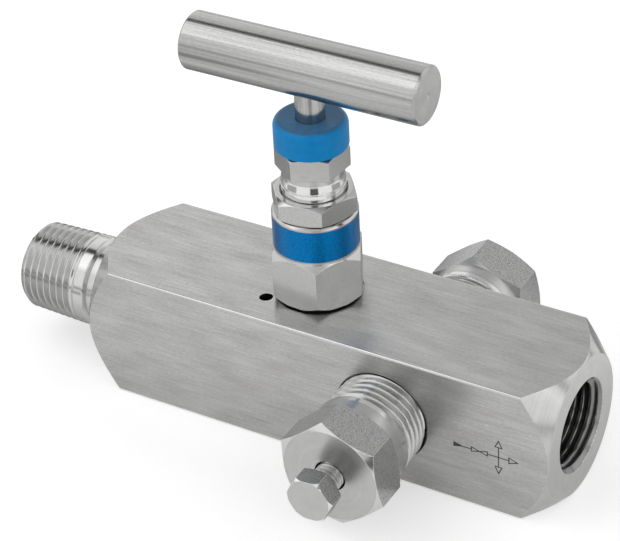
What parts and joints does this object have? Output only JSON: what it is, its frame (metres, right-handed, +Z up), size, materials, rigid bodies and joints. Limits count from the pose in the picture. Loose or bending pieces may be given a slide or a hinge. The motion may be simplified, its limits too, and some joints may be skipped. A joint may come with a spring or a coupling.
{
  "type": "instrument valve manifold",
  "caption": "Block-and-bleed instrument valve: square steel bar body, male and female pipe ends, T-handle needle valve on top, bleed plug in front and closed plug behind.",
  "frame": {"origin": "on the bar's bottom face, under the axis of the bonnet and stem", "axes": "+X along the bar towards the female outlet, +Z up along the stem, -Y the front with the bleed plug"},
  "size_m": [0.1379, 0.0858, 0.0937],
  "materials": {
    "bar_steel": "stainless bar, brushed along its length",
    "turned_steel": "turned stainless steel",
    "polished_steel": "polished stainless steel",
    "blue_plastic": "satin moulded plastic",
    "blue_band": "printed metal band",
    "packing": "white fluoropolymer"
  },
  "bodies": {
    "body": {"valve_body": "bar_steel", "bonnet": "turned_steel", "label_band": "blue_band", "bonnet_lock_pin": "turned_steel", "lock_nut": "turned_steel", "packing_nut": "turned_steel", "dust_cap": "blue_plastic", "packing_support": "turned_steel", "packing_ring_lower": "packing", "packing_ring_middle": "packing", "packing_ring_upper": "packing", "gland_ring": "turned_steel", "bleed_plug": "turned_steel", "blank_plug": "turned_steel"},
    "stem_rise": {"stem_tip": "polished_steel"},
    "stem_spindle": {"stem": "polished_steel", "handle_bar": "turned_steel", "handle_set_screw": "turned_steel"},
    "bleed_rise": {"bleed_ball": "polished_steel"},
    "bleed_spindle": {"bleed_screw": "turned_steel"}
  },
  "joints": [
    {"name": "stem_lift", "type": "slide", "parent": "body", "child": "stem_rise", "axis": [0, 0, 1], "range_m": [0, 0.00477]},
    {"name": "stem_turn", "type": "hinge", "parent": "stem_rise", "child": "stem_spindle", "pos_m": [0, 0, 0.0873], "axis": [0, 0, 1], "range_deg": [0, 1620]},
    {"name": "bleed_lift", "type": "slide", "parent": "body", "child": "bleed_rise", "axis": [0, -1, 0], "range_m": [0, 0.00272]},
    {"name": "bleed_turn", "type": "hinge", "parent": "bleed_rise", "child": "bleed_spindle", "pos_m": [0.0236, -0.045, 0.016], "axis": [0, -1, 0], "range_deg": [0, 1080]}
  ],
  "couplings": [
    {"joint": "stem_lift", "follows": "stem_turn", "m_per_rad": 0.00016843},
    {"joint": "bleed_turn", "follows": "bleed_lift", "rad_per_m": 6927.4}
  ]
}
